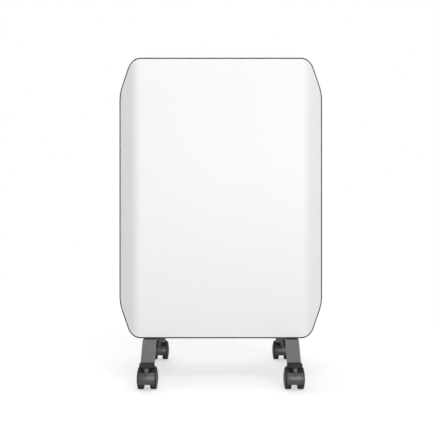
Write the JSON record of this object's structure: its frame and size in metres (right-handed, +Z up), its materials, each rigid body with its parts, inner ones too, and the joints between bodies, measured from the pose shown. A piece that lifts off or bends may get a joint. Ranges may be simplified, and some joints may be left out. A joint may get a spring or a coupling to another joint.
{
  "type": "oil-filled radiator",
  "caption": "Free-standing oil-filled radiator with flat covers front and rear, oil fins between them, a control housing on one end and two sloped legs on twin-wheel castors.",
  "frame": {"origin": "middle of the floor area under the whole radiator, on the floor", "axes": "+X towards the control end, -Y towards the front cover that the picture shows, +Z up"},
  "size_m": [0.3968, 0.3, 0.6259],
  "materials": {
    "white_enamel": "gloss",
    "black_trim": "satin",
    "zinc_steel": "satin",
    "element_steel": "satin",
    "gasket_rubber": "matte",
    "housing_plastic": "satin",
    "gloss_black_plastic": "gloss",
    "dial_plastic": "satin",
    "rocker_plastic": "gloss",
    "lamp_lens": "gloss",
    "moulded_resin": "matte",
    "terminal_ceramic": "matte",
    "grey_leg_paint": "satin",
    "castor_plastic": "satin",
    "castor_tyre": "satin"
  },
  "bodies": {
    "radiator": {"castor_stems": "zinc_steel", "control_backplate": "zinc_steel", "control_fascia": "gloss_black_plastic", "control_housing": "housing_plastic", "cord_gland": "housing_plastic", "cover_nuts": "zinc_steel", "element_gasket": "gasket_rubber", "front_cover": "white_enamel", "front_edge_trim": "black_trim", "front_left_leg_cap": "castor_plastic", "front_right_leg_cap": "castor_plastic", "heating_element": "element_steel", "housing_screws": "zinc_steel", "left_leg": "grey_leg_paint", "leg_u_bolts": "zinc_steel", "lower_left_cover_bracket": "zinc_steel", "lower_right_cover_bracket": "zinc_steel", "oil_fill_plug": "zinc_steel", "oil_fin_1": "white_enamel", "oil_fin_2": "white_enamel", "oil_fin_3": "white_enamel", "oil_fin_4": "white_enamel", "oil_fin_5": "white_enamel", "oil_fin_6": "white_enamel", "oil_fin_7": "white_enamel", "oil_fin_8": "white_enamel", "pilot_lamp": "lamp_lens", "rear_cover": "white_enamel", "rear_edge_trim": "black_trim", "rear_left_leg_cap": "castor_plastic", "rear_right_leg_cap": "castor_plastic", "right_leg": "grey_leg_paint", "switch_body": "gloss_black_plastic", "terminal_block": "terminal_ceramic", "thermal_cutout": "moulded_resin", "thermostat": "moulded_resin", "upper_left_cover_bracket": "zinc_steel", "upper_right_cover_bracket": "zinc_steel", "wing_nuts": "castor_plastic"},
    "thermostat_dial": {"thermostat_knob": "dial_plastic", "thermostat_shaft": "zinc_steel"},
    "front_rocker": {"power_rocker_1": "rocker_plastic"},
    "rear_rocker": {"power_rocker_2": "rocker_plastic"},
    "front_left_castor": {"front_left_castor_hood": "castor_plastic", "front_left_castor_axle": "zinc_steel"},
    "front_left_outer_roller": {"front_left_outer_wheel": "castor_tyre"},
    "front_left_inner_roller": {"front_left_inner_wheel": "castor_tyre"},
    "front_right_castor": {"front_right_castor_hood": "castor_plastic", "front_right_castor_axle": "zinc_steel"},
    "front_right_outer_roller": {"front_right_outer_wheel": "castor_tyre"},
    "front_right_inner_roller": {"front_right_inner_wheel": "castor_tyre"},
    "rear_left_castor": {"rear_left_castor_hood": "castor_plastic", "rear_left_castor_axle": "zinc_steel"},
    "rear_left_outer_roller": {"rear_left_outer_wheel": "castor_tyre"},
    "rear_left_inner_roller": {"rear_left_inner_wheel": "castor_tyre"},
    "rear_right_castor": {"rear_right_castor_hood": "castor_plastic", "rear_right_castor_axle": "zinc_steel"},
    "rear_right_outer_roller": {"rear_right_outer_wheel": "castor_tyre"},
    "rear_right_inner_roller": {"rear_right_inner_wheel": "castor_tyre"}
  },
  "joints": [
    {"name": "thermostat_turn", "type": "hinge", "parent": "radiator", "child": "thermostat_dial", "pos_m": [0.1795, -0.014, 0.522], "axis": [-1, 0, 0], "range_deg": [0, 270]},
    {"name": "front_rocker_press", "type": "hinge", "parent": "radiator", "child": "front_rocker", "pos_m": [0.1765, -0.027, 0.434], "axis": [0, -1, 0], "range_deg": [0, 14]},
    {"name": "rear_rocker_press", "type": "hinge", "parent": "radiator", "child": "rear_rocker", "pos_m": [0.1765, -0.001, 0.434], "axis": [0, -1, 0], "range_deg": [0, 14]},
    {"name": "front_left_swivel", "type": "hinge", "parent": "radiator", "child": "front_left_castor", "pos_m": [-0.1365, -0.142, 0.0425], "axis": [0, 0, 1], "continuous": true},
    {"name": "front_left_outer_spin", "type": "hinge", "parent": "front_left_castor", "child": "front_left_outer_roller", "pos_m": [-0.1365, -0.126, 0.02], "axis": [1, 0, 0], "continuous": true},
    {"name": "front_left_inner_spin", "type": "hinge", "parent": "front_left_castor", "child": "front_left_inner_roller", "pos_m": [-0.1365, -0.126, 0.02], "axis": [1, 0, 0], "continuous": true},
    {"name": "front_right_swivel", "type": "hinge", "parent": "radiator", "child": "front_right_castor", "pos_m": [0.1365, -0.142, 0.0425], "axis": [0, 0, 1], "continuous": true},
    {"name": "front_right_outer_spin", "type": "hinge", "parent": "front_right_castor", "child": "front_right_outer_roller", "pos_m": [0.1365, -0.126, 0.02], "axis": [1, 0, 0], "continuous": true},
    {"name": "front_right_inner_spin", "type": "hinge", "parent": "front_right_castor", "child": "front_right_inner_roller", "pos_m": [0.1365, -0.126, 0.02], "axis": [1, 0, 0], "continuous": true},
    {"name": "rear_left_swivel", "type": "hinge", "parent": "radiator", "child": "rear_left_castor", "pos_m": [-0.1365, 0.114, 0.0425], "axis": [0, 0, 1], "continuous": true},
    {"name": "rear_left_outer_spin", "type": "hinge", "parent": "rear_left_castor", "child": "rear_left_outer_roller", "pos_m": [-0.1365, 0.13, 0.02], "axis": [1, 0, 0], "continuous": true},
    {"name": "rear_left_inner_spin", "type": "hinge", "parent": "rear_left_castor", "child": "rear_left_inner_roller", "pos_m": [-0.1365, 0.13, 0.02], "axis": [1, 0, 0], "continuous": true},
    {"name": "rear_right_swivel", "type": "hinge", "parent": "radiator", "child": "rear_right_castor", "pos_m": [0.1365, 0.114, 0.0425], "axis": [0, 0, 1], "continuous": true},
    {"name": "rear_right_outer_spin", "type": "hinge", "parent": "rear_right_castor", "child": "rear_right_outer_roller", "pos_m": [0.1365, 0.13, 0.02], "axis": [1, 0, 0], "continuous": true},
    {"name": "rear_right_inner_spin", "type": "hinge", "parent": "rear_right_castor", "child": "rear_right_inner_roller", "pos_m": [0.1365, 0.13, 0.02], "axis": [1, 0, 0], "continuous": true}
  ]
}
